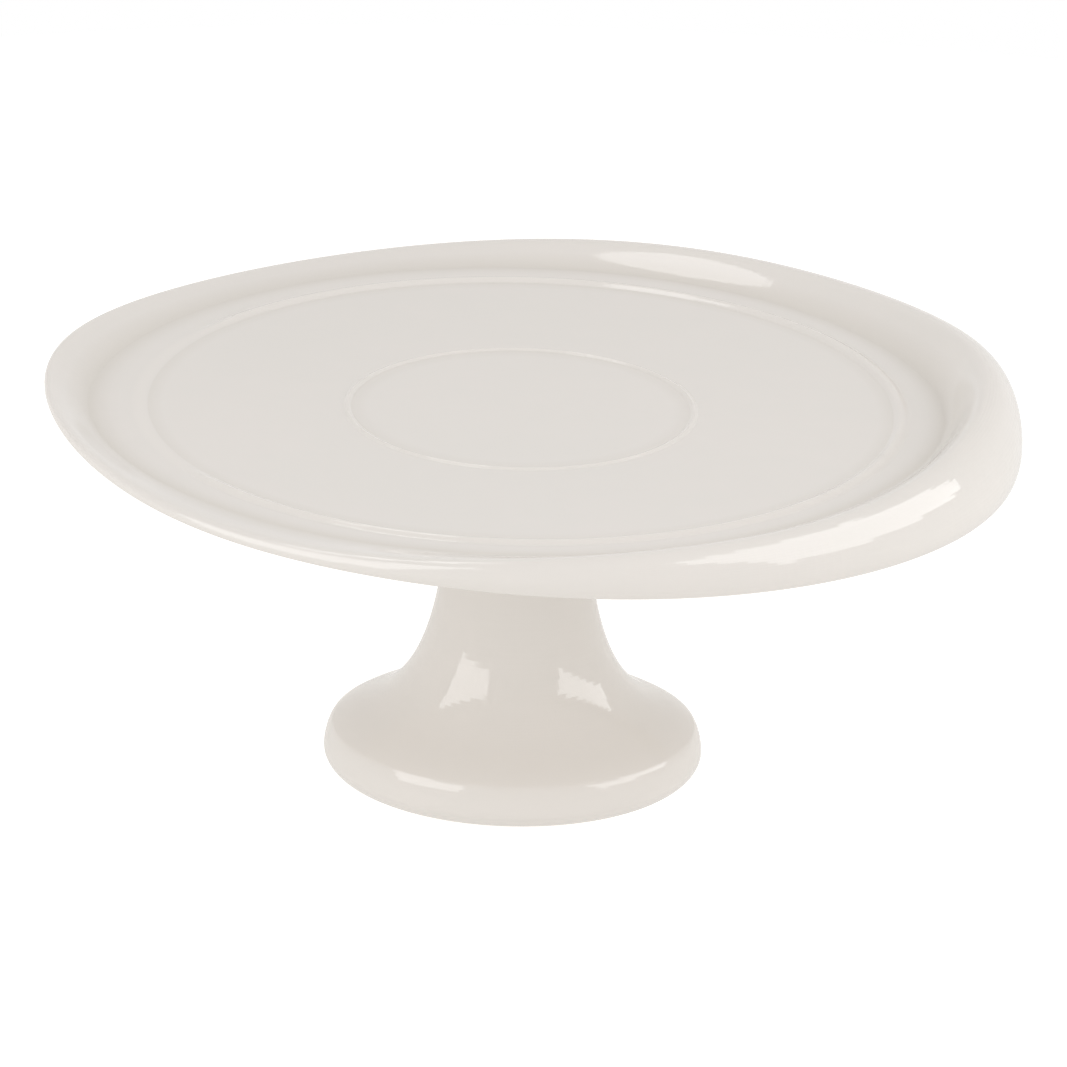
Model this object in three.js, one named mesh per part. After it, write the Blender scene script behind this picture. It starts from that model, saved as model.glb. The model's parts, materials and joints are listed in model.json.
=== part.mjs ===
// A footed cake stand in glazed ceramic: a shallow round plate whose rim flows from a thin flared lip at one
// end into a tall rolled wave at the other, on a hollow trumpet-shaped pedestal.
//
// Millimetres, +Z up, standing on z = 0. +X points from the lip end of the plate to the wave end, and the
// front and back halves mirror each other. The origin is under the middle of the plate's outline, so the
// pedestal's own axis stands a few millimetres towards the lip.
import * as THREE from "three";

// ---------------------------------------------------------------- driving dimensions, in millimetres

// Plate: heights are counted from its flat floor, and radii from the pedestal's axis.
const floorHeight = 125.5;
const plateThickness = 5.5;
const crestRadius = 153;

// The rim, stated every 30 degrees from the wave end (0) round to the lip end (180).
const crestRise = [13.5, 9, 6.4, 4.3, 1.6, 4.4, 8];
const skirtLow = [-15.8, -13.8, -10.2, -6, -2.9, 1, 5.1];
const floorInset = [11, 13, 13, 13, 12.4, 11.6, 10.8];

// The rest of the rim changes steadily from the wave end to the lip end.
const outerReach = { wave: 11.9, lip: 0.9 };
const bellyShare = { wave: 0.27, lip: 0.55 };
const skirtTuck = { wave: 3.5, lip: 1.2 };
const crestShoulder = { wave: 6, lip: 2.2 };
const footGrip = { wave: 2, lip: 0.3 };
const rimWall = { wave: 5.5, lip: 2.8 };
const hollowInset = { wave: 1, lip: 1.5 };
const lipStretch = 2.4;
const lipPoint = 12;
const gutterRun = 3;
const foldShare = { low: 0.45, hollow: 0.3 };

// Raised rings in the plate's floor; the outer one sinks away towards the lip end.
const innerRing = { radius: 57, width: 3, height: 0.6 };
const outerRing = { radius: 125, width: 6.4, height: 1.1 };
const ringFade = { from: 138, to: 152 };

// Pedestal: heights are counted from the table, and the neck's drop from the pedestal's own top.
const footRadius = 62.3;
const footWidestHeight = 7;
const footRingOuter = 53;
const footRingWidth = 6;
const shelfRadius = 59.5;
const shelfHeight = 15.7;
const neckRadius = 23.1;
const neckDrop = 16.4;
const flareHold = { neck: 0.9, shelf: 0.387 };
const shelfRise = 8.9;
const beadLead = 1.5;
const beadDrop = 1;
const beadRound = 3;
const pedestalTopRadius = 31;
const neckHold = 0.48;
const pedestalWall = 5;
const seatWidth = 9;
const boreDepth = 4;

// Joint between the two: the plate's boss centres the pedestal's open top, and slip fills the seat.
const slipThickness = 0.8;
const slipFillet = 3;
const bossDepth = 3;
const bossClearance = 0.6;

// Fineness of the curved surfaces: steps round the axis, and steps along each curve of a section.
const plateSteps = 96;
const pedestalSteps = 48;
const plateCurves = { ring: 6, wall: 8, crest: 6, skirt: 4, fold: 6, under: 6 };
const pedestalCurves = { upper: 5, flare: 12, bead: 4, foot: 5 };

// ---------------------------------------------------------------- sizes that follow from those above

const undersideHeight = floorHeight - plateThickness;
const pedestalHeight = undersideHeight - slipThickness;
const neckHeight = pedestalHeight - neckDrop;
const boreTopRadius = pedestalTopRadius - seatWidth;
const bossRadius = boreTopRadius - bossClearance;

// Half the difference of the plate's two reaches centres its outline on the origin.
const waveReach = crestRadius + outerReach.wave;
const lipReach = crestRadius + lipStretch + outerReach.lip;
const axisX = (lipReach - waveReach) / 2;

// ---------------------------------------------------------------- materials

const glaze = new THREE.MeshStandardMaterial({ color: 0xe9e4dc, roughness: 0.12, metalness: 0 });
const glazedSlip = new THREE.MeshStandardMaterial({ color: 0xe5dfd4, roughness: 0.18, metalness: 0 });

// ---------------------------------------------------------------- curves

// A smooth closed wave through values stated at equal angles from 0 to 180 degrees, mirrored beyond.
function around(values, angle) {
  const last = values.length - 1;
  const endShare = (i) => (i === 0 || i === last ? 0.5 : 1);
  let sum = 0;
  for (let k = 0; k <= last; k++) {
    let part = 0;
    values.forEach((value, i) => {
      part += endShare(i) * value * Math.cos((Math.PI * k * i) / last);
    });
    sum += endShare(k) * (2 / last) * part * Math.cos(k * angle);
  }
  return sum;
}

// A value that changes steadily from the wave end to the lip end.
function between(ends, angle) {
  return THREE.MathUtils.lerp(ends.wave, ends.lip, lipShare(angle));
}

// 0 at the wave end, 1 at the lip end.
function lipShare(angle) {
  return (1 - Math.cos(angle)) / 2;
}

// Points along a cubic curve, without its first point.
function bend(start, startHandle, endHandle, end, count) {
  const curve = new THREE.CubicBezierCurve(start, startHandle, endHandle, end);
  return curve.getPoints(count).slice(1);
}

// Points along a quarter of an ellipse, without its first point, from one end of its axes to the other.
function quarter(centre, from, to, count) {
  const points = [];
  for (let i = 1; i <= count; i++) {
    const turn = (Math.PI / 2) * (i / count);
    const a = new THREE.Vector2().subVectors(from, centre).multiplyScalar(Math.cos(turn));
    const b = new THREE.Vector2().subVectors(to, centre).multiplyScalar(Math.sin(turn));
    points.push(a.add(b).add(centre));
  }
  return points;
}

// ---------------------------------------------------------------- plate

const point = (radius, height) => new THREE.Vector2(radius, height);

// The outer ring's share of its full height: whole round the wave end, nothing at the lip end.
function outerRingShare(angle) {
  const degrees = THREE.MathUtils.radToDeg(Math.acos(Math.cos(angle)));
  return 1 - THREE.MathUtils.smoothstep(degrees, ringFade.from, ringFade.to);
}

// A rounded ring across the floor, as a raised cosine.
function ringPoints(ring, share) {
  const points = [];
  for (let i = 0; i <= plateCurves.ring; i++) {
    const across = (2 * i) / plateCurves.ring - 1;
    const rise = (ring.height * share * (1 + Math.cos(Math.PI * across))) / 2;
    points.push(point(ring.radius + (across * ring.width) / 2, rise));
  }
  return points;
}

// The rim's own sizes at one angle round the plate.
function rimAt(angle) {
  const crestR = crestRadius + lipStretch * lipShare(angle) ** lipPoint;
  const crestZ = around(crestRise, angle);
  const lowZ = around(skirtLow, angle);
  const outerR = crestR + between(outerReach, angle);
  const edgeR = crestR - around(floorInset, angle);
  return {
    crest: point(crestR, crestZ),
    shoulder: point(crestR - between(crestShoulder, angle), crestZ),
    floorEdge: point(edgeR, 0),
    grip: point(edgeR + between(footGrip, angle), 0),
    outer: point(outerR, THREE.MathUtils.lerp(lowZ, crestZ, between(bellyShare, angle))),
    low: point(outerR - between(skirtTuck, angle), lowZ),
    hollow: point(crestR - between(hollowInset, angle), crestZ - between(rimWall, angle)),
    wall: between(rimWall, angle),
  };
}

// The inner wall, crest and skirt, from the floor's edge out over the top to the skirt's lowest line.
function rimOutside(rim) {
  const gutter = point(rim.floorEdge.x - gutterRun, 0);
  return [
    gutter,
    ...bend(gutter, rim.grip, rim.shoulder, rim.crest, plateCurves.wall),
    ...quarter(point(rim.crest.x, rim.outer.y), rim.crest, rim.outer, plateCurves.crest),
    ...quarter(point(rim.low.x, rim.outer.y), rim.outer, rim.low, plateCurves.skirt),
  ];
}

// The underside of the rim: up inside the skirt to the hollow of the fold, then down under the wall.
function rimInside(rim) {
  const slope = Math.atan2(rim.shoulder.y, rim.shoulder.x - rim.floorEdge.x);
  const footR = rim.floorEdge.x + plateThickness * Math.tan(slope / 2);
  const { low, hollow, wall } = rim;
  const run = low.x - hollow.x;
  const fold = bend(
    low,
    point(low.x - run * foldShare.low, low.y),
    point(low.x - run * foldShare.hollow, hollow.y),
    hollow,
    plateCurves.fold,
  );
  const foot = point(footR - gutterRun, -plateThickness);
  const under = bend(
    hollow,
    point(Math.max(hollow.x - wall, footR), hollow.y),
    point(footR, -plateThickness),
    foot,
    plateCurves.under,
  );
  return [...fold, ...under];
}

// The plate's whole section at one angle, from its middle on top round the rim to its middle below.
function plateSection(angle) {
  const rim = rimAt(angle);
  return [
    ...ringPoints(innerRing, 1),
    ...ringPoints(outerRing, outerRingShare(angle)),
    ...rimOutside(rim),
    ...rimInside(rim),
    point(bossRadius, -plateThickness),
    point(bossRadius, -plateThickness - bossDepth),
  ];
}

// A closed surface swept round the axis from sections that all have the same number of points.
function sweptGeometry(sectionAt, topHeight, bottomHeight, stepsRound) {
  const positions = [0, 0, topHeight, 0, 0, bottomHeight];
  let size = 0;
  for (let step = 0; step < stepsRound; step++) {
    const angle = (2 * Math.PI * step) / stepsRound;
    const section = sectionAt(angle);
    size = section.length;
    for (const { x, y } of section) {
      positions.push(x * Math.cos(angle), x * Math.sin(angle), y);
    }
  }
  const index = [];
  for (let step = 0; step < stepsRound; step++) {
    const here = 2 + step * size;
    const next = 2 + ((step + 1) % stepsRound) * size;
    index.push(0, here, next);
    for (let i = 0; i < size - 1; i++) {
      index.push(here + i, here + i + 1, next + i + 1);
      index.push(here + i, next + i + 1, next + i);
    }
    index.push(1, next + size - 1, here + size - 1);
  }
  const geometry = new THREE.BufferGeometry();
  geometry.setAttribute("position", new THREE.Float32BufferAttribute(positions, 3));
  geometry.setIndex(index);
  geometry.computeVertexNormals();
  return geometry;
}

function makePlate() {
  const geometry = sweptGeometry(plateSection, 0, -plateThickness - bossDepth, plateSteps);
  const mesh = new THREE.Mesh(geometry, glaze);
  mesh.name = "serving_plate";
  mesh.position.z = floorHeight;
  return mesh;
}

// ---------------------------------------------------------------- pedestal

// The visible side, from the top edge down the neck, out over the shelf and round the foot's bead.
function pedestalOutside() {
  const top = point(pedestalTopRadius, pedestalHeight);
  const neck = point(neckRadius, neckHeight);
  const shelf = point(shelfRadius, shelfHeight);
  const widest = point(footRadius, footWidestHeight);
  const seat = point(footRingOuter, 0);
  const handles = {
    underTop: point(neckRadius, pedestalHeight - neckDrop * neckHold),
    overNeck: point(neckRadius, neckHeight + neckDrop * neckHold),
    underNeck: point(neckRadius, neckHeight - (neckHeight - shelfHeight) * flareHold.neck),
    overShelf: point(
      shelfRadius - (shelfRadius - neckRadius) * flareHold.shelf,
      shelfHeight + shelfRise,
    ),
    pastShelf: point(shelfRadius + beadLead, shelfHeight - beadDrop),
    overWidest: point(footRadius, footWidestHeight + beadRound),
  };
  return {
    upper: [top, ...bend(top, handles.underTop, handles.overNeck, neck, pedestalCurves.upper)],
    flare: bend(neck, handles.underNeck, handles.overShelf, shelf, pedestalCurves.flare),
    bead: [
      ...bend(shelf, handles.pastShelf, handles.overWidest, widest, pedestalCurves.bead),
      ...quarter(point(footRingOuter, footWidestHeight), widest, seat, pedestalCurves.foot),
    ],
  };
}

// The same curve moved one wall thickness into the material.
function inward(curve, wall) {
  return curve.map((here, i) => {
    const before = curve[Math.max(i - 1, 0)];
    const after = curve[Math.min(i + 1, curve.length - 1)];
    const along = new THREE.Vector2().subVectors(after, before).normalize();
    return point(here.x + along.y * wall, here.y - along.x * wall);
  });
}

// A closed surface of revolution about +Z from a loop of points that runs down its outer side.
function turnedGeometry(profile) {
  const loop = [...profile, profile[0].clone()].reverse();
  return new THREE.LatheGeometry(loop, pedestalSteps).rotateX(Math.PI / 2);
}

function makePedestal() {
  const { upper, flare, bead } = pedestalOutside();
  const inside = inward([...flare].reverse(), -pedestalWall);
  const profile = [
    ...upper,
    ...flare,
    ...bead,
    point(footRingOuter - footRingWidth, 0),
    ...inside,
    point(boreTopRadius, pedestalHeight - boreDepth),
    point(boreTopRadius, pedestalHeight),
  ];
  const mesh = new THREE.Mesh(turnedGeometry(profile), glaze);
  mesh.name = "pedestal";
  return mesh;
}

// ---------------------------------------------------------------- slip joint

// The bed of slip between the pedestal's top edge and the plate, drawn out into a fillet round the seat.
function makeSlip() {
  const bottom = pedestalHeight;
  const outerEdge = point(pedestalTopRadius, bottom);
  const underPlate = point(pedestalTopRadius + slipFillet, undersideHeight);
  const profile = [
    point(boreTopRadius, bottom),
    point(boreTopRadius, undersideHeight),
    underPlate,
    outerEdge,
  ];
  const mesh = new THREE.Mesh(turnedGeometry(profile), glazedSlip);
  mesh.name = "luting_slip";
  return mesh;
}

// ---------------------------------------------------------------- whole stand

const stand = new THREE.Group();
stand.name = "cake_stand";
stand.position.x = axisX;
stand.add(makePlate(), makePedestal(), makeSlip());

export default stand;
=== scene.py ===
"""A footed cake stand in glazed ceramic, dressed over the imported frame.

Metres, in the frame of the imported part: +Z up, standing on z = 0. The plate's thin lip end points to -X and
its tall rolled wave end to +X, and the front and back halves mirror each other.
"""

from __future__ import annotations

import json
import logging
import math
from dataclasses import dataclass
from enum import Enum
from typing import Callable, ClassVar, Union

import bpy
from mathutils import Matrix, Quaternion, Vector


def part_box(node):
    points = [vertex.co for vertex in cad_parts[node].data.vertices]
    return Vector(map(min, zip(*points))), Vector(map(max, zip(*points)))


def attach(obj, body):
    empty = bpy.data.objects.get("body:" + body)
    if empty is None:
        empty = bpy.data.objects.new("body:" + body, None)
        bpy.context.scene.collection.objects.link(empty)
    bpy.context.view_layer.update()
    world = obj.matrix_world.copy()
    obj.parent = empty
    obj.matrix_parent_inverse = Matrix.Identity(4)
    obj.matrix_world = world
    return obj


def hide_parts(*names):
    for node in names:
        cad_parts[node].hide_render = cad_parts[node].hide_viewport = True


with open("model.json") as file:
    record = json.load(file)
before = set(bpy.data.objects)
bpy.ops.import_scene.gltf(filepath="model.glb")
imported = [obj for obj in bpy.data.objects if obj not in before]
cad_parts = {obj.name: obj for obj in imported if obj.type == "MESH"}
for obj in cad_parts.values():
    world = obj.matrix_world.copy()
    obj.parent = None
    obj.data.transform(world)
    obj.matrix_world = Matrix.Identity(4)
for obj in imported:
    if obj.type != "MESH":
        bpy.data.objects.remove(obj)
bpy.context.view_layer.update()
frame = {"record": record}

LOG = logging.getLogger("cake_stand")
MM = 0.001


# ---------------------------------------------------------------- arithmetic in node trees


class Field:
    """A number that may change from point to point, held by a socket of a node tree.

    Plain arithmetic on fields builds the tree's Math nodes.
    """

    def __init__(self, tree: bpy.types.NodeTree, socket: bpy.types.NodeSocket) -> None:
        """Keeps the tree and the socket that the value comes out of."""
        self.tree = tree
        self.socket = socket

    def calculate(self, operation: str, *terms: Amount) -> Field:
        """Adds one Math node.

        Args:
            operation: the Math node's operation.
            terms: what its inputs take, in order.

        Returns:
            The node's result.
        """
        node = self.tree.nodes.new("ShaderNodeMath")
        node.operation = operation
        for slot, term in zip(node.inputs, terms):
            feed(self.tree, slot, term)
        return Field(self.tree, node.outputs[0])

    def __add__(self, other: Amount) -> Field:
        """This plus the other."""
        return self.calculate("ADD", self, other)

    def __radd__(self, other: Amount) -> Field:
        """The other plus this."""
        return self.calculate("ADD", other, self)

    def __sub__(self, other: Amount) -> Field:
        """This minus the other."""
        return self.calculate("SUBTRACT", self, other)

    def __rsub__(self, other: Amount) -> Field:
        """The other minus this."""
        return self.calculate("SUBTRACT", other, self)

    def __mul__(self, other: Amount) -> Field:
        """This times the other."""
        return self.calculate("MULTIPLY", self, other)

    def __rmul__(self, other: Amount) -> Field:
        """The other times this."""
        return self.calculate("MULTIPLY", other, self)

    def __truediv__(self, other: Amount) -> Field:
        """This divided by the other."""
        return self.calculate("DIVIDE", self, other)

    def __pow__(self, exponent: Amount) -> Field:
        """This to a power."""
        return self.calculate("POWER", self, exponent)

    def cos(self) -> Field:
        """The cosine of this angle."""
        return self.calculate("COSINE", self)

    def sin(self) -> Field:
        """The sine of this angle."""
        return self.calculate("SINE", self)

    def tan(self) -> Field:
        """The tangent of this angle."""
        return self.calculate("TANGENT", self)

    def between(self, low: Amount, high: Amount) -> Field:
        """This held between two limits."""
        return self.calculate("MINIMUM", self.calculate("MAXIMUM", self, low), high)

    def smooth_step(self, start: Amount, end: Amount) -> Field:
        """0 up to start, 1 from end on, and a smooth rise between them."""
        share = ((self - start) / (end - start)).between(0.0, 1.0)
        return share * share * (3.0 - 2.0 * share)


Amount = Union[Field, float]


def feed(tree: bpy.types.NodeTree, slot: bpy.types.NodeSocket, term: Amount) -> None:
    """Links a field to a node's input, or sets the input to a number.

    Args:
        tree: the tree that holds both.
        slot: the input.
        term: a field or a number.
    """
    if isinstance(term, Field):
        tree.links.new(term.socket, slot)
    else:
        slot.default_value = term


@dataclass(frozen=True)
class SectionPoint:
    """A point of a section: its distance from the axis, and its height."""

    radius: Amount
    height: Amount

    def plus(self, other: SectionPoint, share: Amount = 1.0) -> SectionPoint:
        """This point moved by a share of another one."""
        return SectionPoint(
            self.radius + share * other.radius, self.height + share * other.height
        )

    def times(self, share: Amount) -> SectionPoint:
        """This point scaled about the origin."""
        return SectionPoint(share * self.radius, share * self.height)

    def minus(self, other: SectionPoint) -> SectionPoint:
        """The step from the other point to this one."""
        return SectionPoint(self.radius - other.radius, self.height - other.height)


Curve = Callable[[Field], SectionPoint]


def line(start: SectionPoint, end: SectionPoint) -> Curve:
    """A straight run between two points."""
    return lambda share: start.plus(end.minus(start), share)


def bend(*points: SectionPoint) -> Curve:
    """A cubic curve.

    Args:
        points: its start, the start's handle, the end's handle and its end.

    Returns:
        The curve, from share 0 to share 1.
    """

    def at(share: Field) -> SectionPoint:
        """The point at a share of the curve."""
        rest = 1.0 - share
        weights = (
            rest * rest * rest,
            3.0 * (rest * rest * share),
            3.0 * (rest * share * share),
            share * share * share,
        )
        total = points[0].times(weights[0])
        for point, weight in zip(points[1:], weights[1:]):
            total = total.plus(point, weight)
        return total

    return at


def bend_inside(wall: float, *points: SectionPoint) -> Curve:
    """A cubic curve moved one wall thickness to its right, and run from its end to its start.

    Args:
        wall: the wall's thickness.
        points: the cubic curve's four points.

    Returns:
        The moved curve.
    """
    steps = [b.minus(a).times(3.0) for a, b in zip(points, points[1:])]

    def at(share: Field) -> SectionPoint:
        """The point at a share of the moved curve."""
        back = 1.0 - share
        slope = steps[0].times(share * share)
        slope = slope.plus(steps[1], 2.0 * (share * back))
        slope = slope.plus(steps[2], back * back)
        length = (slope.radius * slope.radius + slope.height * slope.height) ** 0.5
        aside = SectionPoint(slope.height / length, -1.0 * slope.radius / length)
        return bend(*points)(back).plus(aside, wall)

    return at


def quarter(centre: SectionPoint, start: SectionPoint, end: SectionPoint) -> Curve:
    """A quarter of an ellipse about its centre, from the end of one axis to the end of the other."""

    def at(share: Field) -> SectionPoint:
        """The point at a share of the quarter turn."""
        turn = share * (math.pi / 2)
        arm = start.minus(centre).times(turn.cos())
        return centre.plus(arm).plus(end.minus(centre), turn.sin())

    return at


# ---------------------------------------------------------------- bodies swept round an axis


# Painted shade and painted light: above 0 the colour darkens as if shaded, below 0 it lightens as if lit,
# only partly from real glaze lying thick or thin.
@dataclass(frozen=True)
class GlazeDepthAndShade:
    """How thick the glaze lies at a strip's start, middle and end, with painted shade and painted light: 1
    glaze lying thick and darkened by painted shade, 0 even, -1 glaze drawn thin and lightened by painted
    light.
    """

    start: float = 0.0
    middle: float = 0.0
    end: float = 0.0

    def at(self, share: Field) -> Field:
        """The glaze thickness with its painted shade and light at a share of the strip, as a smooth wave
        through the three.
        """
        ends = self.start + (self.end - self.start) * share
        swell = self.middle - (self.start + self.end) / 2
        return ends + swell * (share * math.pi).sin()


class SweptBody:
    """A closed body made by Geometry Nodes from strips that each run right round the axis."""

    # The stored number darkens the glaze with painted shade where positive and lightens it with painted light
    # where negative.
    DEPTH_AND_SHADE_ATTRIBUTE = "glaze_depth_and_painted_shade"
    JOIN_DISTANCE = 2e-6
    SHARP_TURN = math.radians(38)

    def __init__(self, name: str, steps_round: int) -> None:
        """Starts the node tree.

        Args:
            name: the tree's and the piece's name.
            steps_round: how many steps each strip has round the axis.
        """
        self.name = name
        self.steps_round = steps_round
        self.tree = bpy.data.node_groups.new(name, "GeometryNodeTree")
        self.tree.interface.new_socket(
            "Geometry", in_out="OUTPUT", socket_type="NodeSocketGeometry"
        )
        self.inputs = self.tree.nodes.new("NodeGroupInput")
        self.joined = self.tree.nodes.new("GeometryNodeJoinGeometry")
        self.chosen: dict[str, float] = {}
        place = self.tree.nodes.new("GeometryNodeInputPosition")
        parts = self.tree.nodes.new("ShaderNodeSeparateXYZ")
        self.tree.links.new(place.outputs[0], parts.inputs[0])
        self.share = Field(self.tree, parts.outputs["X"]) + 0.5
        self.angle = (Field(self.tree, parts.outputs["Y"]) + 0.5) * (2 * math.pi)
        self.east, self.north = self.angle.cos(), self.angle.sin()

    def size(self, name: str, value: float) -> Field:
        """Adds a named size to the tree's inputs.

        Args:
            name: the input's name.
            value: what the modifier sets it to.

        Returns:
            The size, for use in the tree.
        """
        socket = self.tree.interface.new_socket(
            name, in_out="INPUT", socket_type="NodeSocketFloat"
        )
        self.chosen[socket.identifier] = value
        return Field(self.tree, self.inputs.outputs[name])

    def strip(
        self, steps_along: int, curve: Curve, depth_and_shade: GlazeDepthAndShade = GlazeDepthAndShade()
    ) -> None:
        """Adds one strip of the section: a flat unit grid, bent along its curve and round the axis.

        Args:
            steps_along: its steps along the section.
            curve: the strip's curve, which may change with the angle round the axis.
            depth_and_shade: how thick the glaze lies along it, with the painted shade and painted light along
                it.
        """
        nodes, links = self.tree.nodes, self.tree.links
        grid = nodes.new("GeometryNodeMeshGrid")
        grid.inputs["Size X"].default_value = 1.0
        grid.inputs["Size Y"].default_value = 1.0
        grid.inputs["Vertices X"].default_value = steps_along + 1
        grid.inputs["Vertices Y"].default_value = self.steps_round + 1
        point = curve(self.share)
        place = nodes.new("ShaderNodeCombineXYZ")
        feed(self.tree, place.inputs["X"], point.radius * self.east)
        feed(self.tree, place.inputs["Y"], point.radius * self.north)
        feed(self.tree, place.inputs["Z"], point.height)
        # Stores the glaze thickness with its painted shade and light on each point.
        store = nodes.new("GeometryNodeStoreNamedAttribute")
        store.data_type = "FLOAT"
        store.domain = "POINT"
        store.inputs["Name"].default_value = self.DEPTH_AND_SHADE_ATTRIBUTE
        feed(self.tree, store.inputs["Value"], depth_and_shade.at(self.share))
        moved = nodes.new("GeometryNodeSetPosition")
        links.new(grid.outputs["Mesh"], store.inputs["Geometry"])
        links.new(store.outputs["Geometry"], moved.inputs["Geometry"])
        links.new(place.outputs[0], moved.inputs["Position"])
        links.new(moved.outputs["Geometry"], self.joined.inputs["Geometry"])

    def finish_tree(self, axis: Field, material: bpy.types.Material) -> None:
        """Closes the strips into one body on its axis, and gives it its material.

        Args:
            axis: where the axis stands along X.
            material: the body's finish.
        """
        nodes, links = self.tree.nodes, self.tree.links
        merge = nodes.new("GeometryNodeMergeByDistance")
        merge.inputs["Distance"].default_value = self.JOIN_DISTANCE
        stand = nodes.new("GeometryNodeTransform")
        offset = nodes.new("ShaderNodeCombineXYZ")
        feed(self.tree, offset.inputs["X"], axis)
        links.new(offset.outputs[0], stand.inputs["Translation"])
        smooth = nodes.new("GeometryNodeSetShadeSmooth")
        smooth.domain = "EDGE"
        turn = nodes.new("GeometryNodeInputMeshEdgeAngle")
        gentle = nodes.new("FunctionNodeCompare")
        gentle.operation = "LESS_THAN"
        gentle.inputs["B"].default_value = self.SHARP_TURN
        links.new(turn.outputs["Unsigned Angle"], gentle.inputs["A"])
        links.new(gentle.outputs["Result"], smooth.inputs["Shade Smooth"])
        realize = nodes.new("GeometryNodeRealizeInstances")
        dress = nodes.new("GeometryNodeSetMaterial")
        dress.inputs["Material"].default_value = material
        end = nodes.new("NodeGroupOutput")
        chain = [self.joined, merge, stand, smooth, realize, dress]
        for before, after in zip(chain, chain[1:]):
            links.new(before.outputs[0], after.inputs["Geometry"])
        links.new(dress.outputs["Geometry"], end.inputs["Geometry"])

    def bake(self) -> bpy.types.Object:
        """Runs the tree and keeps its result as a plain mesh.

        Returns:
            The piece, at the origin, with its place in its mesh.
        """
        piece = bpy.data.objects.new(self.name, bpy.data.meshes.new(self.name))
        bpy.context.scene.collection.objects.link(piece)
        modifier = piece.modifiers.new(self.name, "NODES")
        modifier.node_group = self.tree
        for identifier, value in self.chosen.items():
            modifier[identifier] = value
        graph = bpy.context.evaluated_depsgraph_get()
        shown = piece.evaluated_get(graph)
        mesh = bpy.data.meshes.new_from_object(
            shown, preserve_all_data_layers=True, depsgraph=graph
        )
        piece.modifiers.clear()
        piece.data = mesh
        mesh.name = self.name
        return piece


# ---------------------------------------------------------------- finishes


class Texture(Enum):
    """The shared surface effects, each one node group."""

    GLAZE_SKIN = "Glaze skin"
    FOOT_WIPE = "Foot wipe"


class EffectTree:
    """A shader node group being built, with its named inputs and outputs."""

    def __init__(self, texture: Texture) -> None:
        """Starts the group for one effect."""
        self.tree = bpy.data.node_groups.new(texture.value, "ShaderNodeTree")
        self.inputs = self.tree.nodes.new("NodeGroupInput")
        self.end = self.tree.nodes.new("NodeGroupOutput")
        place = self.tree.nodes.new("ShaderNodeTexCoord")
        self.place = place.outputs["Object"]

    def value(self, name: str, default: float) -> Field:
        """Adds a named number to the group's inputs."""
        socket = self.tree.interface.new_socket(
            name, in_out="INPUT", socket_type="NodeSocketFloat"
        )
        socket.default_value = default
        return Field(self.tree, self.inputs.outputs[name])

    def noise(self, scale: Amount, detail: float, roughness: float = 0.5) -> Field:
        """Adds a noise texture on object coordinates.

        Args:
            scale: waves per metre.
            detail: how many finer layers it has.
            roughness: how strong the finer layers are.

        Returns:
            The noise, about 0.5.
        """
        node = self.tree.nodes.new("ShaderNodeTexNoise")
        self.tree.links.new(self.place, node.inputs["Vector"])
        feed(self.tree, node.inputs["Scale"], scale)
        node.inputs["Detail"].default_value = detail
        node.inputs["Roughness"].default_value = roughness
        return Field(self.tree, node.outputs["Fac"])

    def cells(self, scale: Amount) -> tuple[Field, Field]:
        """Adds scattered points.

        Args:
            scale: points per metre.

        Returns:
            The distance to the nearest point, in cells, and a number of its own for each point.
        """
        node = self.tree.nodes.new("ShaderNodeTexVoronoi")
        self.tree.links.new(self.place, node.inputs["Vector"])
        feed(self.tree, node.inputs["Scale"], scale)
        shade = self.tree.nodes.new("ShaderNodeSeparateColor")
        self.tree.links.new(node.outputs["Color"], shade.inputs[0])
        return Field(self.tree, node.outputs["Distance"]), Field(
            self.tree, shade.outputs[0]
        )

    def height(self) -> Field:
        """The height above the table."""
        parts = self.tree.nodes.new("ShaderNodeSeparateXYZ")
        self.tree.links.new(self.place, parts.inputs[0])
        return Field(self.tree, parts.outputs["Z"])

    def result(self, name: str, value: Field) -> None:
        """Adds a named number to what the group puts out."""
        self.tree.interface.new_socket(
            name, in_out="OUTPUT", socket_type="NodeSocketFloat"
        )
        feed(self.tree, self.end.inputs[name], value)


def build_glaze_skin() -> bpy.types.NodeTree:
    """The glaze's own unevenness: cloudy tone, orange peel, gloss, and a few pinholes.

    Returns:
        The node group.
    """
    effect = EffectTree(Texture.GLAZE_SKIN)
    cloud_scale = effect.value("Cloud Scale", 9.0)
    ripple_scale = effect.value("Ripple Scale", 70.0)
    pinhole_scale = effect.value("Pinhole Scale", 45.0)
    pinhole_share = effect.value("Pinhole Share", 0.02)
    clouds = effect.noise(cloud_scale, 3.0)
    mist = effect.noise(cloud_scale * 7.0, 2.0)
    effect.result("Tone", (clouds * 0.7 + mist * 0.3).smooth_step(0.32, 0.68))
    distance, own = effect.cells(pinhole_scale)
    chosen = (pinhole_share - own).smooth_step(0.0, 0.002)
    pinholes = chosen * (1.0 - distance.smooth_step(0.008, 0.02))
    effect.result("Pinholes", pinholes)
    ripple = effect.noise(ripple_scale, 1.0, 0.4)
    swell = effect.noise(ripple_scale * 0.25, 0.0)
    effect.result("Height", ripple * 0.35 + swell - pinholes * 0.6)
    effect.result("Gloss", effect.noise(ripple_scale * 0.6, 2.0).smooth_step(0.3, 0.7))
    return effect.tree


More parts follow.
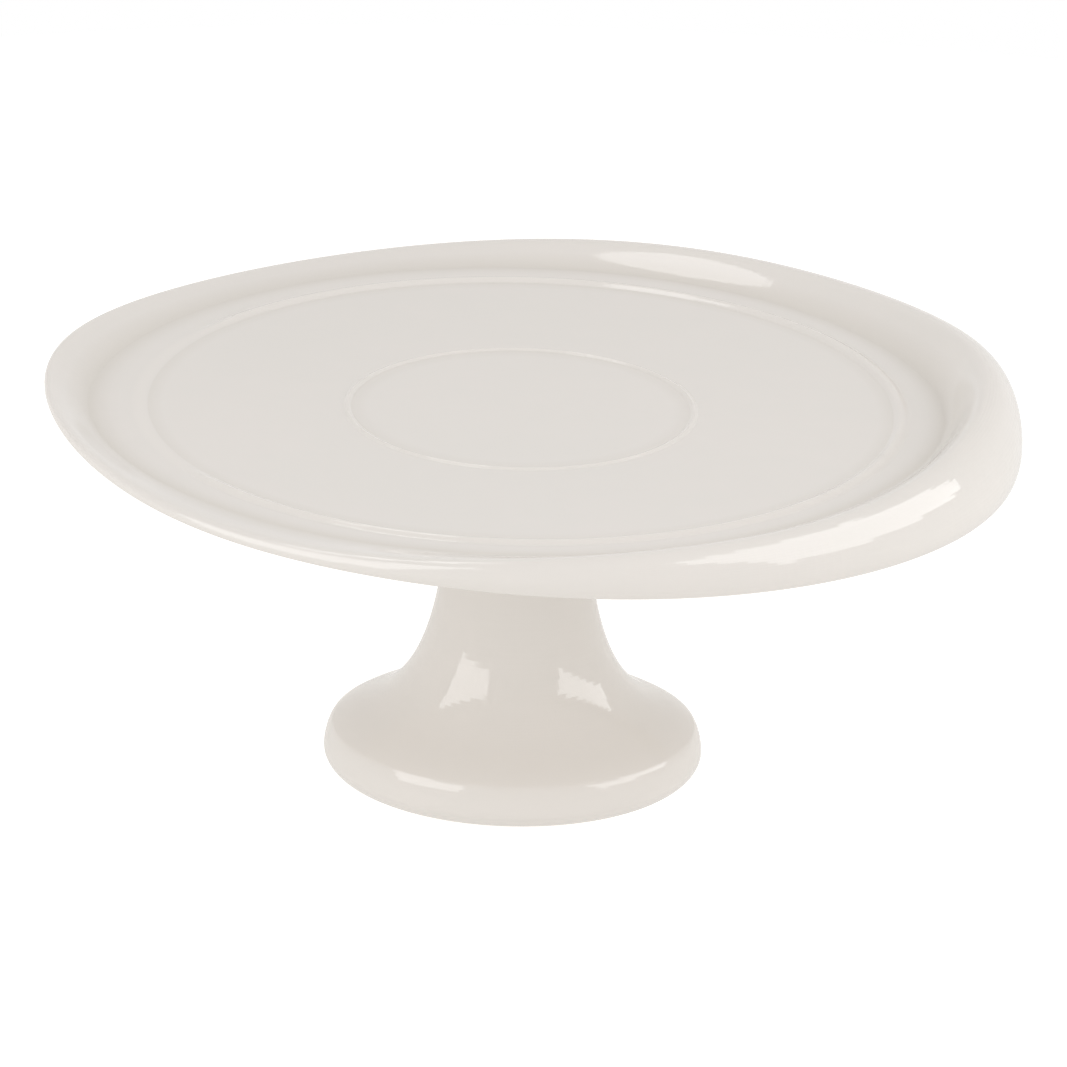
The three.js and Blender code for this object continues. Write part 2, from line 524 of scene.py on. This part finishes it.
def build_foot_wipe() -> bpy.types.NodeTree:
    """Where glaze was sponged off the foot before firing: bare below a slightly uneven line.

    Returns:
        The node group.
    """
    effect = EffectTree(Texture.FOOT_WIPE)
    line_height = effect.value("Line Height", 0.0007)
    wander = effect.value("Wander", 0.0005)
    waver = (effect.noise(60.0, 2.0) - 0.5) * wander
    above = effect.height() + waver
    effect.result("Bare", 1.0 - above.smooth_step(line_height * 0.6, line_height))
    over_line = 1.0 - above.smooth_step(line_height, line_height * 3.0)
    effect.result("Lip", above.smooth_step(0.0, line_height) * over_line)
    effect.result("Grain", effect.noise(1400.0, 4.0, 0.65))
    return effect.tree


Colour = tuple[float, float, float]


def blend(
    tree: bpy.types.NodeTree,
    share: Field,
    start: Union[Colour, bpy.types.NodeSocket],
    end: Colour,
) -> bpy.types.NodeSocket:
    """Mixes two colours.

    Args:
        tree: the tree to add the mix to.
        share: how much of the second.
        start: the first, as a colour or another mix.
        end: the second.

    Returns:
        The mix.
    """
    node = tree.nodes.new("ShaderNodeMix")
    node.data_type = "RGBA"
    feed(tree, node.inputs["Factor"], share)
    first, second = (s for s in node.inputs if s.name in "AB" and s.type == "RGBA")
    second.default_value = (*end, 1.0)
    if isinstance(start, tuple):
        first.default_value = (*start, 1.0)
    else:
        tree.links.new(start, first)
    return next(s for s in node.outputs if s.type == "RGBA")


class MaterialTree:
    """A material being built round one Principled shader."""

    def __init__(self, name: str) -> None:
        """Starts the material."""
        self.material = bpy.data.materials.new(name)
        self.material.use_nodes = True
        self.tree = self.material.node_tree
        self.shader = self.tree.nodes["Principled BSDF"]

    def effect(self, tree: bpy.types.NodeTree, values: dict[str, float]) -> dict[str, Field]:
        """Places a shared effect with this material's own values.

        Args:
            tree: the effect's node group.
            values: its inputs, by name.

        Returns:
            What it puts out, by name.
        """
        node = self.tree.nodes.new("ShaderNodeGroup")
        node.node_tree = tree
        for name, value in values.items():
            node.inputs[name].default_value = value
        return {out.name: Field(self.tree, out) for out in node.outputs}

    def attribute(self, name: str) -> Field:
        """A number stored on the mesh."""
        node = self.tree.nodes.new("ShaderNodeAttribute")
        node.attribute_name = name
        return Field(self.tree, node.outputs["Fac"])

    def bump(self, height: Field, distance: float, strength: float) -> None:
        """Feeds a height into the shader's normal.

        Args:
            height: the height, from 0 to 1.
            distance: what a height of 1 stands for, in metres.
            strength: how much of it shows.
        """
        node = self.tree.nodes.new("ShaderNodeBump")
        node.inputs["Distance"].default_value = distance
        node.inputs["Strength"].default_value = strength
        feed(self.tree, node.inputs["Height"], height)
        self.tree.links.new(node.outputs["Normal"], self.shader.inputs["Normal"])


@dataclass(frozen=True)
class CreamGlaze:
    """A glossy cream-white glaze over a pale body, darker in hollows and lighter over edges, partly from
    glaze lying thick or thin and partly from painted shade in hollows and creases and painted light on crests
    and broad faces.
    """

    skin: bpy.types.NodeTree
    wipe: bpy.types.NodeTree
    even: Colour = (0.80, 0.772, 0.736)
    cloud: Colour = (0.815, 0.78, 0.745)
    # Darker colour: glaze lying thick plus painted shade.
    pooled_and_shaded: Colour = (0.68, 0.64, 0.58)
    # Lighter colour: glaze drawn thin plus painted light and painted highlight.
    thin: Colour = (0.835, 0.80, 0.76)
    pinhole: Colour = (0.30, 0.24, 0.18)
    clay: Colour = (0.62, 0.54, 0.43)
    refraction: float = 1.5
    smoothest: float = 0.025
    roughest: float = 0.06
    clay_roughness: float = 0.8
    # How strongly the painted shade and the painted light show.
    pooled_and_shaded_share: float = 0.8
    thin_and_lit_share: float = 0.7
    pinhole_strength: float = 0.8
    pinhole_density: float = 0.02
    wipe_line: float = 0.7 * MM
    wipe_wander: float = 0.5 * MM
    grain_height: float = 0.4
    lip_height: float = 0.5
    bump_depth: float = 0.15 * MM
    bump_strength: float = 0.35

    def material(self, name: str, bare_foot: bool = False) -> bpy.types.Material:
        """Makes the finish for one piece.

        Args:
            name: the material's name.
            bare_foot: whether the piece stands on an unglazed ring.

        Returns:
            The material.
        """
        made = MaterialTree(name)
        skin = made.effect(self.skin, {"Pinhole Share": self.pinhole_density})
        depth_and_shade = made.attribute(SweptBody.DEPTH_AND_SHADE_ATTRIBUTE)
        colour = blend(made.tree, skin["Tone"], self.even, self.cloud)
        # Painted shade darkens where the stored number is positive; painted light lightens where it is
        # negative.
        pooled_and_shaded = depth_and_shade.between(0.0, 1.0) * self.pooled_and_shaded_share
        colour = blend(made.tree, pooled_and_shaded, colour, self.pooled_and_shaded)
        thin = (depth_and_shade * -1.0).between(0.0, 1.0) * self.thin_and_lit_share
        colour = blend(made.tree, thin, colour, self.thin)
        colour = blend(made.tree, skin["Pinholes"] * self.pinhole_strength, colour, self.pinhole)
        rough = self.smoothest + (self.roughest - self.smoothest) * skin["Gloss"]
        height = skin["Height"]
        if bare_foot:
            edge = {"Line Height": self.wipe_line, "Wander": self.wipe_wander}
            wipe = made.effect(self.wipe, edge)
            colour = blend(made.tree, wipe["Bare"], colour, self.clay)
            rough = rough + wipe["Bare"] * (self.clay_roughness - rough)
            height = height + wipe["Bare"] * wipe["Grain"] * self.grain_height
            height = height + wipe["Lip"] * self.lip_height
        made.tree.links.new(colour, made.shader.inputs["Base Color"])
        feed(made.tree, made.shader.inputs["Roughness"], rough)
        made.shader.inputs["IOR"].default_value = self.refraction
        made.bump(height, self.bump_depth, self.bump_strength)
        return made.material


# ---------------------------------------------------------------- the stand's pieces


@dataclass(frozen=True)
class Ends:
    """A size that changes steadily from the wave end to the lip end."""

    wave: float
    lip: float


@dataclass(frozen=True)
class Ring:
    """A raised ring in the plate's floor."""

    radius: float
    width: float
    height: float


@dataclass
class ServingPlate:
    """The plate: a flat floor with two raised rings, and a rim that rolls from thin lip to tall wave.

    Heights are counted from the floor, and radii from the pedestal's axis.
    """

    axis: float
    floor_height: float
    glaze: CreamGlaze
    thickness: float = 5.5 * MM
    crest_radius: float = 153 * MM
    crest_rise: tuple[float, ...] = (13.5, 9.0, 6.4, 4.3, 1.6, 4.4, 8.0)
    skirt_low: tuple[float, ...] = (-15.8, -13.8, -10.2, -6.0, -2.9, 1.0, 5.1)
    floor_inset: tuple[float, ...] = (11.0, 13.0, 13.0, 13.0, 12.4, 11.6, 10.8)
    outer_reach: Ends = Ends(11.9 * MM, 0.9 * MM)
    belly_share: Ends = Ends(0.27, 0.55)
    skirt_tuck: Ends = Ends(3.5 * MM, 1.2 * MM)
    crest_shoulder: Ends = Ends(6 * MM, 2.2 * MM)
    foot_grip: Ends = Ends(2 * MM, 0.3 * MM)
    rim_wall: Ends = Ends(5.5 * MM, 2.8 * MM)
    hollow_inset: Ends = Ends(1 * MM, 1.5 * MM)
    lip_stretch: float = 2.4 * MM
    lip_point: float = 12.0
    gutter_run: float = 3 * MM
    fold_share_low: float = 0.45
    fold_share_hollow: float = 0.3
    inner_ring: Ring = Ring(57 * MM, 3 * MM, 0.6 * MM)
    outer_ring: Ring = Ring(125 * MM, 6.4 * MM, 1.1 * MM)
    ring_fade: Ends = Ends(math.radians(138), math.radians(152))
    boss_radius: float = 21.4 * MM
    boss_depth: float = 3 * MM
    steps_round: int = 288

    def build(self) -> bpy.types.Object:
        """Makes the plate.

        Returns:
            The piece.
        """
        body = SweptBody("plate_body", self.steps_round)
        self.body = body
        self.middle = SectionPoint(0.0, body.size("Floor Height", self.floor_height))
        self.waves = {
            name: self.wave_inputs(name, values)
            for name, values in {
                "Crest Rise": self.crest_rise,
                "Skirt Low": self.skirt_low,
                "Floor Inset": self.floor_inset,
            }.items()
        }
        self.ends = {
            name: (body.size(f"{name} Wave", e.wave), body.size(f"{name} Lip", e.lip))
            for name, e in {
                "Outer Reach": self.outer_reach,
                "Belly Share": self.belly_share,
                "Skirt Tuck": self.skirt_tuck,
                "Crest Shoulder": self.crest_shoulder,
                "Foot Grip": self.foot_grip,
                "Rim Wall": self.rim_wall,
                "Hollow Inset": self.hollow_inset,
            }.items()
        }
        self.crest_size = body.size("Crest Radius", self.crest_radius)
        self.plate_wall = body.size("Thickness", self.thickness)
        self.swings = [(body.angle * float(k)).cos() for k in range(len(self.crest_rise))]
        self.lip_share = (1.0 - body.east) * 0.5
        self.rim = self.rim_points()
        self.add_floor()
        self.add_rim()
        self.add_underside()
        axis = body.size("Axis", self.axis)
        body.finish_tree(axis, self.glaze.material("plate_glaze"))
        return body.bake()

    def wave_inputs(self, name: str, values: tuple[float, ...]) -> list[Field]:
        """Adds the cosine waves that pass through values stated at equal angles.

        Args:
            name: the size's name.
            values: the size in millimetres, from the wave end to the lip end.

        Returns:
            The strength of each wave, as inputs.
        """
        last = len(values) - 1
        share = [0.5 if i in (0, last) else 1.0 for i in range(last + 1)]
        waves = []
        for k in range(last + 1):
            part = sum(
                share[i] * value * math.cos(math.pi * k * i / last)
                for i, value in enumerate(values)
            )
            strength = share[k] * (2 / last) * part * MM
            waves.append(self.body.size(f"{name} Wave {k}", strength))
        return waves

    def around(self, name: str) -> Field:
        """One of the stated sizes, all round the plate."""
        waves = self.waves[name]
        total = waves[0]
        for strength, swing in zip(waves[1:], self.swings[1:]):
            total = total + strength * swing
        return total

    def steadily(self, name: str) -> Field:
        """One of the sizes that change steadily from the wave end to the lip end."""
        wave, lip = self.ends[name]
        return wave + (lip - wave) * self.lip_share

    def spot(self, radius: Amount, height: Amount) -> SectionPoint:
        """A point of the section, at a height above the floor."""
        return SectionPoint(radius, height + self.middle.height)

    def add_floor(self) -> None:
        """Adds the floor from its middle to the gutter, with both rings."""
        inner, outer = self.inner_ring, self.outer_ring
        runs = [
            (0.0, inner.radius - inner.width / 2, 10),
            (inner.radius + inner.width / 2, outer.radius - outer.width / 2, 14),
        ]
        for start, end, steps in runs:
            self.body.strip(steps, line(self.spot(start, 0.0), self.spot(end, 0.0)))
        # Painted shade darkens the inner foot of each ring and a painted highlight lightens its top.
        ring_shade_and_highlight = GlazeDepthAndShade(0.6, -0.9, 0.0)
        self.body.strip(14, self.ring_curve(inner, 1.0), ring_shade_and_highlight)
        self.body.strip(16, self.ring_curve(outer, self.ring_share()), ring_shade_and_highlight)
        edge = self.spot(outer.radius + outer.width / 2, 0.0)
        # Painted shade darkens the gutter towards the foot of the rim wall.
        self.body.strip(4, line(edge, self.rim["gutter"]), GlazeDepthAndShade(0.0, 0.1, 0.75))

    def ring_curve(self, ring: Ring, share: Amount) -> Curve:
        """A rounded ring across the floor, as one wave of a cosine."""

        def at(across: Field) -> SectionPoint:
            """The point at a share of the way across."""
            rise = 1.0 - (across * (2 * math.pi)).cos()
            radius = ring.radius - ring.width / 2 + ring.width * across
            return self.spot(radius, rise * share * (ring.height / 2))

        return at

    def ring_share(self) -> Field:
        """The outer ring's share of its height: whole round the wave, nothing at the lip end."""
        from_wave = self.body.east.between(-1.0, 1.0).calculate(
            "ARCCOSINE", self.body.east.between(-1.0, 1.0)
        )
        return 1.0 - from_wave.smooth_step(self.ring_fade.wave, self.ring_fade.lip)

    def rim_points(self) -> dict[str, SectionPoint]:
        """The rim's own points, which change with the angle round the plate.

        Returns:
            Each point of the rim's section, by name.
        """
        pull = self.lip_share**self.lip_point
        crest_r = self.crest_size + pull * self.lip_stretch
        crest_z = self.around("Crest Rise")
        low_z = self.around("Skirt Low")
        outer_r = crest_r + self.steadily("Outer Reach")
        belly = low_z + (crest_z - low_z) * self.steadily("Belly Share")
        shoulder_r = crest_r - self.steadily("Crest Shoulder")
        edge_r = crest_r - self.around("Floor Inset")
        grip_r = edge_r + self.steadily("Foot Grip")
        low_r = outer_r - self.steadily("Skirt Tuck")
        wall = self.steadily("Rim Wall")
        hollow_r = crest_r - self.steadily("Hollow Inset")
        hollow_z = crest_z - wall
        slope = crest_z.calculate("ARCTAN2", crest_z, shoulder_r - edge_r)
        foot_r = edge_r + self.plate_wall * (slope * 0.5).tan()
        knee_r = foot_r.calculate("MAXIMUM", hollow_r - wall, foot_r)
        run = low_r - hollow_r
        below = -1.0 * self.plate_wall
        return {
            "gutter": self.spot(edge_r - self.gutter_run, 0.0),
            "grip": self.spot(grip_r, 0.0),
            "shoulder": self.spot(shoulder_r, crest_z),
            "crest": self.spot(crest_r, crest_z),
            "crest_axis": self.spot(crest_r, belly),
            "outer": self.spot(outer_r, belly),
            "skirt_axis": self.spot(low_r, belly),
            "low": self.spot(low_r, low_z),
            "fold_start": self.spot(low_r - run * self.fold_share_low, low_z),
            "fold_end": self.spot(low_r - run * self.fold_share_hollow, hollow_z),
            "hollow": self.spot(hollow_r, hollow_z),
            "knee": self.spot(knee_r, hollow_z),
            "foot_edge": self.spot(foot_r, below),
            "foot": self.spot(foot_r - self.gutter_run, below),
        }

    def rim_strip(
        self, steps: int, kind: Callable[..., Curve], names: str, depth_and_shade: GlazeDepthAndShade
    ) -> None:
        """Adds one strip of the rim.

        Args:
            steps: its steps along the section.
            kind: the sort of curve.
            names: the rim points that the curve takes, in order.
            depth_and_shade: how thick the glaze lies along it, with the painted shade and painted light along
                it.
        """
        self.body.strip(steps, kind(*(self.rim[name] for name in names.split())), depth_and_shade)

    def add_rim(self) -> None:
        """Adds the rim: up its inner wall, over the crest, down the skirt and up inside the fold."""
        # Painted shade darkens the foot of the inner wall and the hollow inside the fold; painted light
        # lightens the crest and the skirt's low edge, partly as glaze drawn thin there.
        self.rim_strip(30, bend, "gutter grip shoulder crest", GlazeDepthAndShade(0.75, 0.1, -0.8))
        self.rim_strip(18, quarter, "crest_axis crest outer", GlazeDepthAndShade(-0.8, -0.2, 0.0))
        self.rim_strip(12, quarter, "skirt_axis outer low", GlazeDepthAndShade(0.0, -0.2, -0.7))
        self.rim_strip(14, bend, "low fold_start fold_end hollow", GlazeDepthAndShade(-0.7, 0.0, 0.5))
        self.rim_strip(16, bend, "hollow knee foot_edge foot", GlazeDepthAndShade(0.5, 0.1, 0.0))

    def add_underside(self) -> None:
        """Adds the flat underside and the boss that centres the pedestal."""
        below = -1.0 * self.plate_wall
        under = below - self.boss_depth
        boss = self.spot(self.boss_radius, below)
        boss_end = self.spot(self.boss_radius, under)
        self.body.strip(16, line(self.rim["foot"], boss))
        self.body.strip(2, line(boss, boss_end))
        self.body.strip(4, line(boss_end, self.spot(0.0, under)))


@dataclass
class Pedestal:
    """The hollow trumpet-shaped pedestal, open below, standing on an unglazed ring."""

    axis: float
    glaze: CreamGlaze
    height: float = 119.2 * MM
    foot_radius: float = 62.3 * MM
    foot_widest: float = 7 * MM
    ring_outer: float = 53 * MM
    ring_width: float = 6 * MM
    shelf_radius: float = 59.5 * MM
    shelf_height: float = 15.7 * MM
    neck_radius: float = 23.1 * MM
    neck_height: float = 102.8 * MM
    flare_hold_neck: float = 0.9
    flare_hold_shelf: float = 0.387
    shelf_rise: float = 8.9 * MM
    bead_lead: float = 1.5 * MM
    bead_drop: float = 1 * MM
    bead_round: float = 3 * MM
    ring_edge_round: float = 1 * MM
    top_radius: float = 31 * MM
    neck_round: float = 7.87 * MM
    wall: float = 5 * MM
    bore_radius: float = 22 * MM
    bore_depth: float = 4 * MM
    steps_round: int = 240

    def build(self) -> bpy.types.Object:
        """Makes the pedestal.

        Returns:
            The piece.
        """
        body = SweptBody("pedestal_body", self.steps_round)
        self.body = body
        self.neck_size = body.size("Neck Radius", self.neck_radius)
        self.shelf_size = body.size("Shelf Radius", self.shelf_radius)
        self.foot_size = body.size("Foot Radius", self.foot_radius)
        self.top_size = body.size("Top Radius", self.top_radius)
        self.total = body.size("Height", self.height)
        self.add_outside()
        self.add_inside()
        axis = body.size("Axis", self.axis)
        body.finish_tree(axis, self.glaze.material("pedestal_glaze", bare_foot=True))
        return body.bake()

    def flare(self) -> list[SectionPoint]:
        """The flare's cubic curve, from the neck down to the shelf."""
        drop = self.neck_height - self.shelf_height
        spread = self.shelf_size - self.neck_size
        return [
            SectionPoint(self.neck_size, self.neck_height),
            SectionPoint(self.neck_size, self.neck_height - drop * self.flare_hold_neck),
            SectionPoint(
                self.shelf_size - spread * self.flare_hold_shelf,
                self.shelf_height + self.shelf_rise,
            ),
            SectionPoint(self.shelf_size, self.shelf_height),
        ]

    def add_outside(self) -> None:
        """Adds the top edge, the neck, the flare and the foot's bead."""
        top = SectionPoint(self.top_size, self.total)
        neck = SectionPoint(self.neck_size, self.neck_height)
        upper = [
            top,
            SectionPoint(self.neck_size, self.total - self.neck_round),
            SectionPoint(self.neck_size, self.neck_height + self.neck_round),
            neck,
        ]
        shelf = SectionPoint(self.shelf_size, self.shelf_height)
        widest = SectionPoint(self.foot_size, self.foot_widest)
        bead = [
            shelf,
            SectionPoint(
                self.shelf_size + self.bead_lead, self.shelf_height - self.bead_drop
            ),
            SectionPoint(self.foot_size, self.foot_widest + self.bead_round),
            widest,
        ]
        seat = SectionPoint(self.ring_outer, 0.0)
        bead_axis = SectionPoint(self.ring_outer, self.foot_widest)
        bore_end = SectionPoint(self.bore_radius, self.total)
        self.body.strip(3, line(bore_end, top))
        self.body.strip(16, bend(*upper))
        # Painted light lightens the flare towards the shelf and the top of the foot's bead.
        self.body.strip(56, bend(*self.flare()), GlazeDepthAndShade(0.0, -0.6, -1.0))
        self.body.strip(12, bend(*bead), GlazeDepthAndShade(-1.0, -0.4, -0.3))
        self.body.strip(16, quarter(bead_axis, widest, seat), GlazeDepthAndShade(-0.3, 0.0, 0.0))

    def add_inside(self) -> None:
        """Adds the foot ring, the inner wall and the bore that takes the plate's boss."""
        seat = SectionPoint(self.ring_outer, 0.0)
        ring_inner = SectionPoint(self.ring_outer - self.ring_width, 0.0)
        nothing = self.neck_size * 0.0
        inner_flare = bend_inside(self.wall, *self.flare())
        inner_start = inner_flare(nothing)
        inner_end = inner_flare(nothing + 1.0)
        bore_start = SectionPoint(self.bore_radius, self.height - self.bore_depth)
        bore_end = SectionPoint(self.bore_radius, self.total)
        foot_wall = [
            ring_inner,
            SectionPoint(ring_inner.radius - self.ring_edge_round, 0.0),
            inner_start.plus(SectionPoint(-self.wall, -self.wall)),
            inner_start,
        ]
        throat = [
            inner_end,
            inner_end.plus(SectionPoint(0.0, self.bore_depth)),
            bore_start.plus(SectionPoint(0.0, -self.bore_depth)),
            bore_start,
        ]
        self.body.strip(3, line(seat, ring_inner))
        self.body.strip(10, bend(*foot_wall))
        self.body.strip(44, inner_flare)
        self.body.strip(10, bend(*throat))
        self.body.strip(2, line(bore_start, bore_end))


@dataclass
class SlipJoint:
    """The bed of slip that holds the plate on the pedestal, drawn out into a soft fillet."""

    axis: float
    glaze: CreamGlaze
    bottom: float = 119.2 * MM
    thickness: float = 0.8 * MM
    bore_radius: float = 22 * MM
    seat_radius: float = 31 * MM
    fillet: float = 3 * MM
    steps_round: int = 192

    def build(self) -> bpy.types.Object:
        """Makes the ring of slip.

        Returns:
            The piece.
        """
        body = SweptBody("slip_joint", self.steps_round)
        seat = body.size("Seat Radius", self.seat_radius)
        reach = body.size("Fillet", self.fillet)
        top = self.bottom + self.thickness
        low_in = SectionPoint(self.bore_radius, self.bottom)
        high_in = SectionPoint(self.bore_radius, top)
        high_out = SectionPoint(seat + reach, top)
        low_out = SectionPoint(seat, self.bottom)
        hollow = [
            high_out,
            SectionPoint(seat + reach * 0.5, top),
            SectionPoint(seat + reach * 0.17, self.bottom + self.thickness * 0.7),
            low_out,
        ]
        body.strip(2, line(low_in, high_in))
        body.strip(3, line(high_in, high_out))
        # The fillet is coloured darker towards the middle of its hollow.
        body.strip(10, bend(*hollow), GlazeDepthAndShade(0.3, 0.9, 0.3))
        body.strip(3, line(low_out, low_in))
        body.finish_tree(body.size("Axis", self.axis), self.glaze.material("slip_glaze"))
        return body.bake()


# ---------------------------------------------------------------- studio


@dataclass(frozen=True)
class Softbox:
    """A rectangular soft light that faces the stand.

    Angles are in degrees. Azimuth 0 is along +Y, beyond the stand, and grows towards +X.
    """

    LAMP_GAP: ClassVar[float] = 0.02
    name: str
    azimuth: float
    elevation: float
    width: float
    height: float
    fill: float
    sheen: float
    roll: float = 0.0
    distance: float = 0.9

    def build(self, aim: Vector) -> None:
        """Hangs the light: one lamp for the soft light it sheds, and one for its mirror image.

        Args:
            aim: the point that it faces.
        """
        shed = self.lamp(aim, f"{self.name}_fill", self.fill, self.distance)
        shed.visible_glossy = False
        if self.sheen > 0.0:
            nearer = self.distance - self.LAMP_GAP
            mirrored = self.lamp(aim, f"{self.name}_sheen", self.sheen, nearer)
            mirrored.visible_diffuse = False

    def lamp(
        self, aim: Vector, name: str, brightness: float, distance: float
    ) -> bpy.types.Object:
        """Hangs one lamp.

        Args:
            aim: the point that it faces.
            name: its name.
            brightness: how bright its face is, where 1 shows as white.
            distance: how far it hangs from the aim.

        Returns:
            The lamp.
        """
        azimuth, elevation = math.radians(self.azimuth), math.radians(self.elevation)
        out = Vector(
            (
                math.sin(azimuth) * math.cos(elevation),
                math.cos(azimuth) * math.cos(elevation),
                math.sin(elevation),
            )
        )
        light = bpy.data.lights.new(name, "AREA")
        light.shape = "RECTANGLE"
        light.size = self.width
        light.size_y = self.height
        light.energy = brightness * math.pi * self.width * self.height
        lamp = bpy.data.objects.new(name, light)
        lamp.location = aim + out * distance
        face = (-out).to_track_quat("-Z", "Y")
        tip = Quaternion((0.0, 0.0, 1.0), math.radians(self.roll))
        lamp.rotation_euler = (face @ tip).to_euler()
        lamp.visible_camera = False
        bpy.context.scene.collection.objects.link(lamp)
        return lamp


@dataclass
class Studio:
    """The plain pale table, the soft lights and the camera."""

    aim: Vector
    distance: float = 6.5
    elevation: float = math.radians(20.1)
    roll: float = math.radians(1.38)
    view_width: float = 350 * MM
    look_right: float = 4.2 * MM
    look_down: float = 40.9 * MM
    table_radius: float = 0.75
    table_sides: int = 96
    table_glow: float = 0.6
    table_shown: float = 0.95
    table_light: Colour = (1.0, 0.98, 0.945)
    table_top: Colour = (0.3, 0.3, 0.3)
    table_roughness: float = 0.9
    horizon: Colour = (0.88, 0.865, 0.85)
    ceiling: Colour = (0.46, 0.45, 0.44)
    softboxes: tuple[Softbox, ...] = (
        Softbox("left_box", -119, 40, 0.74, 1.13, 0.9, 2.6, 20),
        Softbox("right_box", 97, 36, 0.96, 0.83, 1.05, 2.6),
        Softbox("back_box", -26, 60, 0.26, 0.17, 0.8, 2.2),
        Softbox("front_fill", 180, 28, 1.3, 0.5, 0.35, 0.0),
    )

    def build(self) -> None:
        """Makes the table, the lights and the camera."""
        self.add_camera()
        self.add_table()
        self.add_surround()
        for softbox in self.softboxes:
            softbox.build(self.aim)

    def add_camera(self) -> None:
        """Makes the camera: a long lens, a little above the plate, tipped slightly to one side."""
        back = Vector((0.0, -math.cos(self.elevation), math.sin(self.elevation)))
        turn = back.to_track_quat("Z", "Y") @ Quaternion((0.0, 0.0, 1.0), self.roll)
        right, up = turn @ Vector((1, 0, 0)), turn @ Vector((0, 1, 0))
        place = self.aim + back * self.distance
        target = self.aim + right * self.look_right - up * self.look_down
        settle = (place - target).normalized().rotation_difference(back).inverted()
        camera = bpy.data.cameras.new("camera")
        camera.sensor_width = 36.0
        camera.lens = camera.sensor_width * self.distance / self.view_width
        camera.clip_end = 100.0
        eye = bpy.data.objects.new("camera", camera)
        eye.matrix_world = Matrix.Translation(place) @ (settle @ turn).to_matrix().to_4x4()
        bpy.context.scene.collection.objects.link(eye)
        bpy.context.scene.camera = eye

    def add_table(self) -> None:
        """Makes the pale table top."""
        turns = [2 * math.pi * i / self.table_sides for i in range(self.table_sides)]
        edge = [(math.cos(t) * self.table_radius, math.sin(t) * self.table_radius, 0) for t in turns]
        mesh = bpy.data.meshes.new("table")
        mesh.from_pydata(edge, [], [tuple(range(self.table_sides))])
        table = bpy.data.objects.new("table", mesh)
        made = MaterialTree("table_white")
        made.shader.inputs["Base Color"].default_value = (*self.table_top, 1.0)
        made.shader.inputs["Roughness"].default_value = self.table_roughness
        made.shader.inputs["Emission Color"].default_value = (*self.table_light, 1.0)
        path = made.tree.nodes.new("ShaderNodeLightPath")
        seen = Field(made.tree, path.outputs["Is Camera Ray"])
        glow = self.table_glow + (self.table_shown - self.table_glow) * seen
        feed(made.tree, made.shader.inputs["Emission Strength"], glow)
        mesh.materials.append(made.material)
        bpy.context.scene.collection.objects.link(table)

    def add_surround(self) -> None:
        """Sets the white room and the plain display of its colours."""
        scene = bpy.context.scene
        world = bpy.data.worlds.new("room")
        world.use_nodes = True
        nodes, links = world.node_tree.nodes, world.node_tree.links
        dim = nodes["Background"]
        place = nodes.new("ShaderNodeTexCoord")
        parts = nodes.new("ShaderNodeSeparateXYZ")
        links.new(place.outputs["Generated"], parts.inputs[0])
        rise = Field(world.node_tree, parts.outputs["Z"]).between(0.0, 1.0)
        links.new(blend(world.node_tree, rise, self.horizon, self.ceiling), dim.inputs["Color"])
        white = nodes.new("ShaderNodeBackground")
        white.inputs["Color"].default_value = (1.0, 1.0, 1.0, 1.0)
        path = nodes.new("ShaderNodeLightPath")
        mix = nodes.new("ShaderNodeMixShader")
        links.new(path.outputs["Is Camera Ray"], mix.inputs["Fac"])
        links.new(dim.outputs[0], mix.inputs[1])
        links.new(white.outputs[0], mix.inputs[2])
        links.new(mix.outputs[0], nodes["World Output"].inputs["Surface"])
        scene.world = world
        scene.view_settings.view_transform = "Standard"


# ---------------------------------------------------------------- whole scene


def report(piece: bpy.types.Object, node: str) -> None:
    """Declares a finished piece to the frame and logs it.

    Args:
        piece: the piece.
        node: the frame's node that it stands for.
    """
    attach(piece, "root")
    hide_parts(node)
    LOG.info("%s: %d faces, for %s", piece.name, len(piece.data.polygons), node)


def main() -> None:
    """Builds the stand's pieces and the studio in order."""
    logging.basicConfig(level=logging.INFO, format="%(name)s %(message)s")
    low, high = (Vector(corner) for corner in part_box("pedestal"))
    axis = (low.x + high.x) / 2
    mounts = {mount["name"]: mount for mount in frame["record"]["mounts"]}
    floor_height = mounts["cake_floor"]["pos_m"][2]
    glaze = CreamGlaze(build_glaze_skin(), build_foot_wipe())
    report(ServingPlate(axis, floor_height, glaze).build(), "serving_plate")
    report(Pedestal(axis, glaze).build(), "pedestal")
    report(SlipJoint(axis, glaze).build(), "luting_slip")
    Studio(Vector((axis, 0.0, floor_height))).build()


if __name__ == "__main__":
    main()
